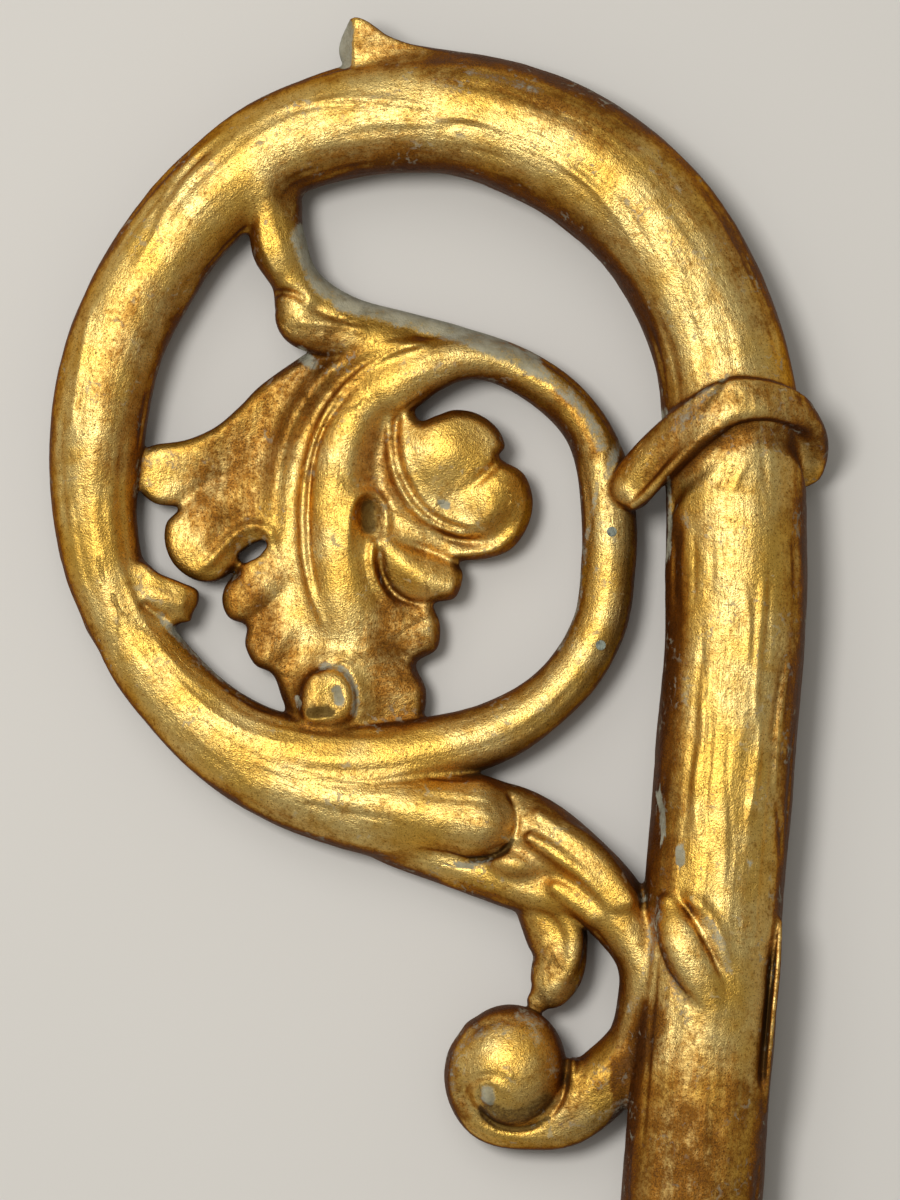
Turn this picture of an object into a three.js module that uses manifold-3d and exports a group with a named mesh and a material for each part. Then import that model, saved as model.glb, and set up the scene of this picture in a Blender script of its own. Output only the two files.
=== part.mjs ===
// A bishop's crosier of carved and gilded wood, lying on its back.
// The frame: +Y runs up the staff to the crook, +Z is up from the surface it lies on, and the origin is the
// centre of the staff's foot. All sizes are millimetres unless a comment says drawing units.
import * as THREE from "three";
import { mergeVertices } from "three/addons/utils/BufferGeometryUtils.js";
import Module from "manifold-3d";

const wasm = await Module();
wasm.setup();

// Driving dimensions
const CROSIER_LENGTH = 1450;
const CROOK_WIDTH = 156.5;
const STAFF_DIAMETER = 28;
const FOOT_CHAMFER = 1.5;
const BAND_RAISED = 4.5;
const PIN_DIAMETER = 2;
const PIN_LENGTH = 4;
const PIN_GAP = 0.3;

// Facets
const STAFF_SIDES = 16;
const LIMB_SIDES = 12;
const VEIN_SIDES = 6;
const DOME_RINGS = 2;
const LOBE_SIDES = 12;
const LOBE_RINGS = 7;

// The crook is drawn in drawing units, x to the right and y down, on a sheet where the whole crook is
// DRAWN_WIDTH units wide and the staff leans by LEAN. DATUM is on the staff's axis, where the crook starts
// to bend, and the top of the curl is DRAWN_RISE units above it.
const DRAWN_WIDTH = 783;
const DRAWN_RISE = 586;
const LEAN = THREE.MathUtils.degToRad(4.35);
const DATUM = [733, 640];
const UNIT = CROOK_WIDTH / DRAWN_WIDTH;

const STAFF_RADIUS = STAFF_DIAMETER / 2;
const DATUM_HEIGHT = CROSIER_LENGTH - DRAWN_RISE * UNIT;
const BED = -STAFF_RADIUS;

// The crook's thick tube, from the datum round to where it divides: x, y, radius as a share of the staff's.
const CURL = [
  [734, 640, 1],
  [735.5, 590, 1],
  [735, 535, 1],
  [733, 470, 0.99],
  [728.5, 405, 0.965],
  [716, 343, 0.945],
  [695, 291, 0.935],
  [667, 243, 0.935],
  [628, 198, 0.935],
  [586, 164, 0.935],
  [539, 140, 0.92],
  [487, 121, 0.895],
  [430, 114, 0.86],
  [350, 123, 0.795],
  [274, 150, 0.735],
  [207, 202, 0.705],
  [159, 260, 0.7],
  [126, 320, 0.7],
  [106, 380, 0.7],
  [97, 440, 0.69],
  [94, 500, 0.62],
  [103, 560, 0.57],
  [124, 612, 0.53],
];

// Limbs, each a row of knots: x, y, half width, height of its middle above the bed, half height.
const INNER_SPIRAL = [
  [100, 565, 26, 36, 32],
  [137, 640, 36, 38, 36],
  [178, 692, 40, 40, 38],
  [232, 734, 40, 43, 40],
  [300, 756, 39, 45, 41],
  [370, 760, 38, 45, 41],
  [440, 748, 34, 44, 39],
  [499, 730, 31, 43, 37],
  [545, 701, 28, 42, 35],
  [579, 664, 27, 42, 34],
  [601, 620, 27, 42, 34],
  [608, 570, 27, 43, 34],
  [609, 525, 27, 44, 34],
  [603, 475, 26, 44, 33],
  [589, 434, 22, 44, 32],
  [565, 400, 20, 44, 31],
  [531, 375, 20, 45, 31],
  [496, 361, 21, 46, 32],
  [460, 358, 24, 48, 34],
  [424, 368, 29, 50, 36],
  [386, 391, 34, 51, 38],
  [356, 430, 36, 51, 38],
  [337, 480, 36, 51, 38],
  [330, 534, 35, 51, 38],
  [334, 590, 34, 49, 36],
  [345, 645, 33, 45, 34],
  [350, 700, 32, 42, 32],
];
const LEDGE = [
  [270, 150, 28, 42, 28],
  [277, 205, 24, 36, 26],
  [284, 252, 19, 32, 26],
  [307, 293, 21, 30, 26],
  [348, 318, 20, 30, 26],
  [402, 331, 20, 30, 26],
  [455, 345, 20, 30, 26],
  [505, 364, 20, 30, 26],
  [551, 392, 21, 30, 26],
  [586, 428, 21, 30, 26],
  [606, 470, 22, 30, 26],
];
const STRUT = [
  [268, 150, 26, 52, 32],
  [266, 190, 20, 56, 28],
  [264, 225, 18, 56, 26],
  [272, 258, 20, 56, 26],
  [285, 284, 18, 54, 24],
];
const STRUT_CURL = [
  [292, 296, 17, 50, 24],
  [290, 320, 16, 50, 24],
  [308, 336, 20, 50, 24],
  [342, 343, 22, 50, 26],
  [385, 350, 22, 48, 24],
];
const LIMB = [
  [100, 560, 26, 36, 30],
  [136, 645, 36, 38, 36],
  [176, 698, 40, 40, 38],
  [219, 738, 42, 42, 40],
  [266, 771, 43, 43, 40],
  [320, 797, 42, 44, 40],
  [395, 818, 41, 46, 40],
  [465, 815, 39, 48, 42],
  [523, 828, 37, 52, 42],
  [574, 863, 35, 56, 44],
  [611, 905, 35, 60, 44],
  [640, 955, 26, 60, 42],
  [646, 1000, 29, 56, 40],
  [637, 1045, 31, 52, 38],
  [605, 1082, 35, 50, 36],
  [565, 1104, 38, 48, 34],
  [525, 1118, 33, 46, 32],
  [491, 1111, 31, 46, 32],
  [474, 1087, 28, 46, 32],
  [473, 1056, 25, 48, 34],
  [491, 1032, 25, 50, 36],
  [518, 1029, 25, 50, 36],
  [542, 1050, 25, 48, 34],
  [552, 1082, 22, 46, 30],
];
const BRACKET_LEAF = [
  [225, 752, 18, 36, 30],
  [300, 790, 30, 46, 38],
  [370, 808, 36, 54, 42],
  [440, 817, 38, 58, 44],
  [482, 819, 35, 60, 44],
];
const BRACKET_LOBE = [
  [325, 806, 28, 30, 26],
  [395, 834, 32, 34, 32],
  [460, 860, 28, 38, 34],
  [516, 881, 28, 44, 38],
  [556, 893, 28, 48, 40],
  [574, 901, 22, 50, 38],
];
const HANGING_TIP = [
  [543, 898, 30, 40, 30],
  [556, 933, 31, 40, 30],
  [560, 956, 27, 42, 28],
  [556, 975, 26, 42, 26],
  [548, 991, 21, 42, 22],
  [540, 1001, 13, 40, 14],
];

// The bud on the staff's front: x, y, half width, depth of its middle under the staff's front, half height.
const STAFF_BUD = [
  [664, 897, 13, 32, 22],
  [680, 916, 23, 22, 26],
  [695, 943, 27, 18, 26],
  [708, 973, 20, 14, 20],
  [719, 998, 9, 12, 12],
];

const BROKEN_LEAF = [
  [105, 580, 18, 38, 26],
  [140, 597, 27, 40, 28],
  [170, 604, 26, 43, 24],
  [197, 604, 18, 44, 20],
];
const BROKEN_THORN = [
  [490, 96, 24, 56, 34],
  [430, 79, 30, 56, 34],
  [390, 62, 31, 56, 30],
  [364, 50, 32, 56, 26],
  [342, 45, 27, 56, 24],
];

// Low ridges that fan out over the central leaf's blade to its lobes.
const LEAF_RIBS = [
  [[318, 402, 30, 50, 20], [262, 426, 28, 48, 20], [212, 450, 24, 45, 18], [172, 468, 20, 42, 16]],
  [[318, 452, 28, 50, 20], [276, 486, 26, 48, 20], [240, 514, 24, 46, 18], [212, 538, 22, 44, 16]],
  [[322, 520, 24, 50, 18], [290, 560, 22, 47, 18], [258, 598, 20, 44, 16]],
  [[330, 590, 22, 48, 16], [302, 622, 20, 45, 16], [280, 652, 18, 42, 14]],
  [[352, 560, 24, 50, 18], [385, 598, 22, 46, 18], [408, 628, 20, 42, 14]],
  [[352, 640, 22, 46, 16], [378, 668, 20, 43, 16], [398, 690, 18, 40, 14]],
];

// Thin raised lines.
const LEFT_VEIN = [
  [440, 341, 6, 62, 16],
  [392, 358, 6, 68, 16],
  [352, 388, 6, 70, 16],
  [326, 430, 6, 70, 16],
  [311, 477, 6, 70, 16],
  [303, 525, 6, 68, 16],
  [305, 570, 6, 66, 16],
  [316, 612, 5, 62, 14],
];
const ROLL_VEIN = [
  [404, 388, 6, 64, 16],
  [393, 415, 7, 68, 18],
  [392, 446, 7, 70, 18],
  [402, 478, 7, 70, 18],
  [425, 507, 7, 68, 18],
  [455, 526, 7, 66, 18],
  [480, 533, 5, 62, 16],
];
const EYE_RIM = [
  [347, 524, 6, 66, 14],
  [351, 501, 7, 70, 16],
  [367, 491, 7, 72, 16],
  [384, 501, 7, 70, 16],
  [389, 522, 7, 64, 14],
  [376, 545, 6, 58, 14],
  [377, 568, 6, 56, 14],
  [390, 590, 6, 52, 12],
];
const KNOB_ARCH = [
  [302, 694, 8, 60, 20],
  [307, 668, 8, 62, 20],
  [326, 656, 8, 62, 20],
  [346, 666, 8, 62, 20],
  [356, 692, 8, 60, 20],
];

// Rounded masses: x, y, half length, half width, turn in degrees, height of its middle, half height.
const LOBES = [
  [450, 453, 60, 44, 12, 50, 38],
  [489, 513, 47, 51, -20, 46, 34],
  [440, 502, 52, 38, 45, 46, 32],
  [424, 566, 44, 36, 38, 44, 32],
  [408, 628, 32, 32, 0, 40, 22],
  [398, 688, 28, 34, 0, 38, 22],
  [180, 474, 44, 30, 5, 38, 24],
  [209, 541, 44, 43, 0, 38, 26],
  [254, 602, 33, 28, 0, 38, 24],
  [275, 650, 30, 30, 0, 38, 24],
  [325, 692, 25, 31, 0, 70, 30],
  [520, 1082, 46, 46, 0, 56, 44],
];

// The central leaf's blade, its outline and the heights of its back and face.
const BLADE = [
  [306, 353], [262, 384], [240, 406], [215, 427], [185, 440], [148, 447], [134, 462], [136, 487], [154, 503],
  [178, 508], [164, 523], [163, 545], [174, 566], [195, 581], [216, 582], [237, 571], [225, 586], [221, 602],
  [229, 619], [245, 627], [243, 645], [254, 665], [272, 675], [282, 700], [310, 730], [400, 730], [420, 716],
  [426, 690], [416, 664], [436, 650], [440, 624], [434, 604], [455, 599], [463, 576], [459, 562], [500, 545],
  [430, 480], [406, 428], [412, 390], [440, 350], [400, 336], [340, 332],
];
const BLADE_BACK = 20;
const BLADE_FACE = 54;
const BLADE_ROUND = 7;

// The tie: a leaning ring round the staff. It leaves the inner spiral and ends behind the staff's right side.
const BAND_HALF_WIDTH = 20;
const BAND_DEPTH = 10;
const BAND_MIDDLE = 172;
const BAND_RISE = 70;
const BAND_CREST = 10;
const BAND_FROM = -60;
const BAND_TO = 108;
const BAND_STEPS = 10;
const BAND_TAIL = [
  [630, 489, 27, 56, 26, -15],
  [654, 463, 28, 76, 26, -30],
];

const THROUGH_HOLE = [253, 551];
const THROUGH_HOLE_RADIUS = 7;
const PINS = {
  pin_upper: [611, 532],
  pin_lower: [600, 645],
};
const PIN_FACE = 78;

// A drawn point, with its height above the bed in drawing units, in the part's frame.
function place(x, y, height = 0) {
  const right = x - DATUM[0];
  const up = DATUM[1] - y;
  return new THREE.Vector3(
    (right * Math.cos(LEAN) - up * Math.sin(LEAN)) * UNIT,
    (right * Math.sin(LEAN) + up * Math.cos(LEAN)) * UNIT + DATUM_HEIGHT,
    BED + height * UNIT,
  );
}

// One oval ring of a limb, square to its direction, with its height along the given direction. The half sizes
// are taken to the middles of its flats.
function ring(centre, direction, upward, halfWidth, halfHeight, sides) {
  const toCorner = 1 / Math.cos(Math.PI / sides);
  const side = new THREE.Vector3().crossVectors(upward, direction).normalize();
  const up = new THREE.Vector3().crossVectors(direction, side).normalize();
  return Array.from({ length: sides }, (_, i) => {
    const angle = ((i + 0.5) / sides) * 2 * Math.PI;
    return centre
      .clone()
      .addScaledVector(side, Math.cos(angle) * halfWidth * toCorner)
      .addScaledVector(up, Math.sin(angle) * halfHeight * toCorner);
  });
}

// A closed solid through a row of rings, with a fan on each end.
function loft(rings) {
  const sides = rings[0].length;
  const points = rings.flat();
  const middle = (row) =>
    row.reduce((sum, p) => sum.add(p), new THREE.Vector3()).divideScalar(sides);
  points.push(middle(rings[0]), middle(rings.at(-1)));
  const index = [];
  const last = (rings.length - 1) * sides;
  for (let i = 0; i < sides; i++) {
    const next = (i + 1) % sides;
    for (let row = 0; row < last; row += sides) {
      index.push(row + i, row + next, row + sides + next);
      index.push(row + i, row + sides + next, row + sides + i);
    }
    index.push(points.length - 2, next, i);
    index.push(points.length - 1, last + i, last + next);
  }
  return new THREE.BufferGeometry().setFromPoints(points).setIndex(index);
}

// A limb through its knots. A knot is a place, a half width, a half height and the lean of its height.
function limb(knots, { sides = LIMB_SIDES, steps = 1.4, start = "flat", end = "flat" } = {}) {
  const line = new THREE.CatmullRomCurve3(knots.map((k) => k.at), false, "catmullrom");
  const sizes = new THREE.CatmullRomCurve3(
    knots.map((k) => new THREE.Vector3(k.halfWidth, k.halfHeight, k.lean ?? 0)),
    false,
    "catmullrom",
  );
  const count = Math.round((knots.length - 1) * steps);
  const upwardAt = (lean) => new THREE.Vector3(Math.sin(lean), 0, Math.cos(lean));
  const rings = [];
  for (let i = 0; i <= count; i++) {
    const t = i / count;
    const size = sizes.getPoint(t);
    rings.push(ring(line.getPoint(t), line.getTangent(t), upwardAt(size.z), size.x, size.y, sides));
  }
  const dome = (knot, direction) =>
    Array.from({ length: DOME_RINGS }, (_, i) => {
      const angle = ((i + 1) / (DOME_RINGS + 0.6)) * (Math.PI / 2);
      const centre = knot.at.clone().addScaledVector(direction, Math.sin(angle) * knot.halfWidth);
      const shrink = Math.cos(angle);
      const way = direction.clone().multiplyScalar(knot === knots[0] ? -1 : 1);
      const { halfWidth, halfHeight, lean = 0 } = knot;
      return ring(centre, way, upwardAt(lean), halfWidth * shrink, halfHeight * shrink, sides);
    });
  if (start === "round") rings.unshift(...dome(knots[0], line.getTangent(0).negate()).reverse());
  if (end === "round") rings.push(...dome(knots.at(-1), line.getTangent(1)));
  return loft(rings);
}

// Knots of a drawn limb.
function drawn(rows) {
  return rows.map(([x, y, halfWidth, middle, halfHeight, lean = 0]) => ({
    at: place(x, y, middle),
    halfWidth: halfWidth * UNIT,
    halfHeight: halfHeight * UNIT,
    lean: THREE.MathUtils.degToRad(lean),
  }));
}

// The same for a limb on the staff's front, given by its depth there.
function onStaff([x, y, halfWidth, depth, halfHeight]) {
  return [x, y, halfWidth, STAFF_DIAMETER / UNIT - depth, halfHeight];
}

// The staff and the thick curl it grows into, as one round limb that lies on the bed.
function staffAndCurl() {
  const along = new THREE.Vector3(0, 1, 0);
  const upward = new THREE.Vector3(0, 0, 1);
  const rings = [
    [0, STAFF_RADIUS - FOOT_CHAMFER],
    [FOOT_CHAMFER, STAFF_RADIUS],
  ].map(([y, radius]) => ring(new THREE.Vector3(0, y, 0), along, upward, radius, radius, STAFF_SIDES));
  const line = new THREE.CatmullRomCurve3(
    CURL.map(([x, y, share]) => {
      const at = place(x, y);
      at.z = BED * (1 - share);
      return at;
    }),
    false,
    "catmullrom",
  );
  const radii = new THREE.CatmullRomCurve3(
    CURL.map(([, , share]) => new THREE.Vector3(share * STAFF_RADIUS, 0, 0)),
    false,
    "catmullrom",
  );
  const count = Math.round((CURL.length - 1) * 1.4);
  for (let i = 0; i <= count; i++) {
    const t = i / count;
    const centre = line.getPoint(t);
    const direction = line.getTangent(t).setZ(0).normalize();
    const radius = radii.getPoint(t).x;
    rings.push(ring(centre, direction, upward, radius, radius, STAFF_SIDES));
  }
  return loft(rings);
}

// The tie band, from the inner spiral over the staff's front to behind its right side.
function band() {
  const radius = STAFF_RADIUS + BAND_RAISED - BAND_DEPTH / 2;
  const tail = drawn(BAND_TAIL);
  const wrapped = Array.from({ length: BAND_STEPS + 1 }, (_, i) => {
    const lean = THREE.MathUtils.degToRad(BAND_FROM + ((BAND_TO - BAND_FROM) * i) / BAND_STEPS);
    const rise = BAND_MIDDLE + BAND_RISE * Math.cos(lean - THREE.MathUtils.degToRad(BAND_CREST));
    return {
      at: new THREE.Vector3(Math.sin(lean) * radius, DATUM_HEIGHT + rise * UNIT, Math.cos(lean) * radius),
      halfWidth: BAND_HALF_WIDTH * UNIT,
      halfHeight: BAND_DEPTH / 2,
      lean,
    };
  });
  return limb([...tail, ...wrapped], { sides: 10, steps: 1, start: "round", end: "round" });
}

// A rounded mass.
function lobe([x, y, halfLength, halfWidth, turn, middle, halfHeight]) {
  const at = place(x, y, middle);
  return new THREE.SphereGeometry(1, LOBE_SIDES, LOBE_RINGS)
    .rotateX(Math.PI / 2)
    .scale(halfLength * UNIT, halfWidth * UNIT, halfHeight * UNIT)
    .rotateZ(LEAN - THREE.MathUtils.degToRad(turn))
    .translate(at.x, at.y, at.z);
}

// The central leaf's blade, a rounded plate.
function blade() {
  const outline = new THREE.CatmullRomCurve3(BLADE.map(([x, y]) => place(x, y)), true, "catmullrom");
  const points = outline.getPoints(BLADE.length * 2).slice(0, -1);
  const shape = new THREE.Shape(points.map((p) => new THREE.Vector2(p.x, p.y)));
  const round = BLADE_ROUND * UNIT;
  return new THREE.ExtrudeGeometry(shape, {
    depth: (BLADE_FACE - BLADE_BACK) * UNIT - 2 * round,
    bevelSize: round,
    bevelThickness: round,
    bevelOffset: -round,
    bevelSegments: 1,
  }).translate(0, 0, BED + BLADE_BACK * UNIT + round);
}

// A pin standing in the wood, or the pocket that it sits in.
function pin([x, y], gap) {
  const at = place(x, y, PIN_FACE);
  return new THREE.CylinderGeometry(PIN_DIAMETER / 2 + gap, PIN_DIAMETER / 2 + gap, PIN_LENGTH + 2 * gap, 16)
    .rotateX(Math.PI / 2)
    .translate(at.x, at.y, at.z - PIN_LENGTH / 2);
}

function solid(geometry) {
  const bare = (geometry.index ? geometry : mergeVertices(geometry)).clone();
  bare.deleteAttribute("normal");
  bare.deleteAttribute("uv");
  const merged = mergeVertices(bare, 1e-4);
  return new wasm.Manifold(
    new wasm.Mesh({
      numProp: 3,
      vertProperties: merged.attributes.position.array,
      triVerts: new Uint32Array(merged.index.array),
    }),
  );
}

function geometryOf(manifold) {
  const mesh = manifold.getMesh();
  return new THREE.BufferGeometry()
    .setAttribute("position", new THREE.BufferAttribute(mesh.vertProperties, 3))
    .setIndex(new THREE.BufferAttribute(mesh.triVerts, 1));
}

// The whole carving as one solid.
function crosier() {
  const round = { start: "round", end: "round" };
  const vein = { sides: VEIN_SIDES, ...round };
  const parts = [
    staffAndCurl(),
    limb(drawn(INNER_SPIRAL)),
    limb(drawn(LEDGE), { sides: 8 }),
    limb(drawn(STRUT), { sides: 10, end: "round" }),
    limb(drawn(STRUT_CURL), { sides: 10, ...round }),
    limb(drawn(LIMB), { end: "round" }),
    limb(drawn(BRACKET_LEAF), round),
    limb(drawn(BRACKET_LOBE), round),
    limb(drawn(HANGING_TIP), round),
    limb(drawn(STAFF_BUD.map(onStaff)), { sides: 10, ...round }),
    limb(drawn(BROKEN_LEAF), { sides: 10 }),
    limb(drawn(BROKEN_THORN), { sides: 10 }),
    ...LEAF_RIBS.map((rows) => limb(drawn(rows), { sides: 8, ...round })),
    limb(drawn(LEFT_VEIN), vein),
    limb(drawn(ROLL_VEIN), vein),
    limb(drawn(EYE_RIM), vein),
    limb(drawn(KNOB_ARCH), vein),
    ...LOBES.map(lobe),
    blade(),
    band(),
  ];
  const hole = place(...THROUGH_HOLE);
  const holeRadius = THROUGH_HOLE_RADIUS * UNIT;
  const drill = new THREE.CylinderGeometry(holeRadius, holeRadius, STAFF_DIAMETER, 10)
    .rotateX(Math.PI / 2)
    .translate(hole.x, hole.y, 0);
  const cuts = [drill, ...Object.values(PINS).map((at) => pin(at, PIN_GAP))];
  const carved = parts.map(solid).reduce((whole, part) => whole.add(part));
  return cuts.map(solid).reduce((whole, cut) => whole.subtract(cut), carved);
}

const gilding = new THREE.MeshStandardMaterial({ color: 0xc8963c, roughness: 0.35, metalness: 0.9 });
const tarnished = new THREE.MeshStandardMaterial({ color: 0x7d8268, roughness: 0.6, metalness: 0.6 });

const group = new THREE.Group();
const body = new THREE.Mesh(geometryOf(crosier()), gilding);
body.name = "crosier";
group.add(body);
for (const [name, at] of Object.entries(PINS)) {
  const mesh = new THREE.Mesh(pin(at, 0), tarnished);
  mesh.name = name;
  group.add(mesh);
}

export default group;
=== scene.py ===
import math

import bmesh
import bpy
import numpy as np
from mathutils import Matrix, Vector


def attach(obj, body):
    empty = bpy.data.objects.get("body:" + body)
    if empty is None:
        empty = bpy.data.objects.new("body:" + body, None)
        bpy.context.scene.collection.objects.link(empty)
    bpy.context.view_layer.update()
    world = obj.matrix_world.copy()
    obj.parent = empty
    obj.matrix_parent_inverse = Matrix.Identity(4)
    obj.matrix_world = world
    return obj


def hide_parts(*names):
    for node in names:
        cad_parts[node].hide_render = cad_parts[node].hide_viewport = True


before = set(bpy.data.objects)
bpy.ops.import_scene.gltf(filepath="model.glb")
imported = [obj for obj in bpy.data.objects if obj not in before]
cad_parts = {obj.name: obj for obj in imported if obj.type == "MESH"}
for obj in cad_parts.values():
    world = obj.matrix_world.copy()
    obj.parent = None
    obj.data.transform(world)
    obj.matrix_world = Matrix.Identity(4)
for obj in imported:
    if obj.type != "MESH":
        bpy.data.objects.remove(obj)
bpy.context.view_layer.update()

# The crook's drawing: x to the right, y down, heights above the bed that it lies on. UNIT is in metres.
UNIT = 0.1565 / 783
LEAN = math.radians(4.35)
DATUM = (733.0, 640.0)
DATUM_Y = 1.45 - 586 * UNIT
BED = -0.014
STAFF = 70.0
FLAT = 1.0
CELL = 2.5
MOST_TRIANGLES = 196000
# The carved head's grid, in drawing units; below CUT the staff goes on as plain rings.
CUT = -600.0
GRID_LOW = (-708.0, CUT, -3.0)
GRID_HIGH = (122.0, 625.0, 168.0)
EMPTY = 40.0
MARGIN = 8
MARKS_REACH = 9
# The rings of the staff and the rounding of its foot.
SIDES = 72
SPACING = 24
FOOT_EDGE, FOOT_INSET = 7, 7.5
# The length that puts the staff's tool marks in step with those of the crook's limb.
MARKS_FROM = 692.0
# How far out from the surface the field is read, to tell how hollow a place is.
HOLLOW_REACHES = (4.0, 8.0, 13.0)
# Points taken at a time by nearest(), and the size of the table of random values.
BATCH = 20000
TABLE = 32
CORNERS = [(i, j, k) for i in (0, 1) for j in (0, 1) for k in (0, 1)]


def turned(x, y):
    """Drawing to the part's directions, still in drawing units from the datum."""
    right = np.asarray(x, float) - DATUM[0]
    up = DATUM[1] - np.asarray(y, float)
    u = right * math.cos(LEAN) - up * math.sin(LEAN)
    v = right * math.sin(LEAN) + up * math.cos(LEAN)
    return u, v


def drawn(u, v):
    """The part's directions back to the drawing."""
    right = u * math.cos(LEAN) + v * math.sin(LEAN)
    up = -u * math.sin(LEAN) + v * math.cos(LEAN)
    return DATUM[0] + right, DATUM[1] - up


def spline(rows, steps=6, closed=False):
    """Catmull-Rom through rows of any number of channels."""
    p = np.asarray(rows, float)
    n = len(p)
    if closed:
        ext = np.vstack([p[-1], p, p[0], p[1]])
        spans = n
    else:
        ext = np.vstack([2 * p[0] - p[1], p, 2 * p[-1] - p[-2]])
        spans = n - 1
    t = np.arange(steps)[:, None] / steps
    out = []
    for i in range(spans):
        a, b, c, d = ext[i], ext[i + 1], ext[i + 2], ext[i + 3]
        square, cube = 2 * a - 5 * b + 4 * c - d, 3 * b - a - 3 * c + d
        out.append(0.5 * (2 * b + (c - a) * t + square * t**2 + cube * t**3))
    if not closed:
        out.append(p[-1:])
    return np.vstack(out)


def nearest(px, py, line):
    """Distance of each point to a polyline, the side it is on, how far along and the place as an index."""
    a = line[:-1]
    ab = line[1:] - a
    length = np.maximum(np.hypot(ab[:, 0], ab[:, 1]), 1e-9)
    start = np.concatenate([[0], np.cumsum(length)])[:-1]
    shape = px.shape
    px = px.ravel().astype(np.float32)
    py = py.ravel().astype(np.float32)
    dist, side, along, place = (np.empty(px.size, np.float32) for _ in range(4))
    for lo in range(0, px.size, BATCH):
        now = slice(lo, lo + BATCH)
        x = px[now, None] - a[None, :, 0].astype(np.float32)
        y = py[now, None] - a[None, :, 1].astype(np.float32)
        t = np.clip((x * ab[:, 0] + y * ab[:, 1]) / length**2, 0, 1)
        dx = x - t * ab[:, 0]
        dy = y - t * ab[:, 1]
        d2 = dx * dx + dy * dy
        k = d2.argmin(1)
        r = np.arange(len(k))
        dist[now] = np.sqrt(d2[r, k])
        side[now] = np.where(ab[k, 0] * y[r, k] - ab[k, 1] * x[r, k] >= 0, 1, -1)
        along[now] = start[k] + t[r, k] * length[k]
        place[now] = k + t[r, k]
    return [values.reshape(shape) for values in (dist, side, along, place)]


def at(channel, place):
    """A spline's channel at places that nearest() gave."""
    return np.interp(place, np.arange(len(channel)), channel)


def between(table, base, share):
    """A table's values between its points, from three first indices and the shares of the next ones."""
    out = 0
    for corner in CORNERS:
        weight = 1
        for part, add in zip(share, corner):
            weight = weight * (part if add else 1 - part)
        out = out + weight * table[tuple((b + add) % n for b, add, n in zip(base, corner, table.shape))]
    return out


def noise(x, y, z, seed):
    """Smooth random values between -1 and 1."""
    table = np.random.default_rng(seed).uniform(-1, 1, (TABLE, TABLE, TABLE)).astype(np.float32)
    base = [np.floor(a).astype(int) for a in (x, y, z)]
    share = [a - b for a, b in zip((x, y, z), base)]
    return between(table, base, [f * f * (3 - 2 * f) for f in share])


def step(lo, hi, x):
    """0 below lo, 1 above hi and a smooth rise between them."""
    t = np.clip((x - lo) / (hi - lo), 0, 1)
    return t * t * (3 - 2 * t)


def tool_marks(along, angle, radius, seed):
    """The carver's long shallow strokes on a limb, by the length along it and the angle round it."""
    c, s = np.cos(angle) * radius, np.sin(angle) * radius
    out = 1.5 * noise(along / 75, c / 34, s / 34, seed)
    out += 0.9 * noise(along / 42, c / 15, s / 15, seed + 1)
    long = noise(along / 110, c / 9, s / 9, seed + 2)
    out -= 1.5 * step(0.25, 0.75, long)
    out += 0.35 * noise(along / 12, c / 8, s / 8, seed + 3)
    return out


def oval(k0, k1, least):
    """Distance to an oval about, from its scaled distance, the slope of that and its least half width."""
    return np.where(k0 < 0.4, (k0 - 1) * least, k0 * (k0 - 1) / np.maximum(k1, 1e-6)).astype(np.float32)


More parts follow.
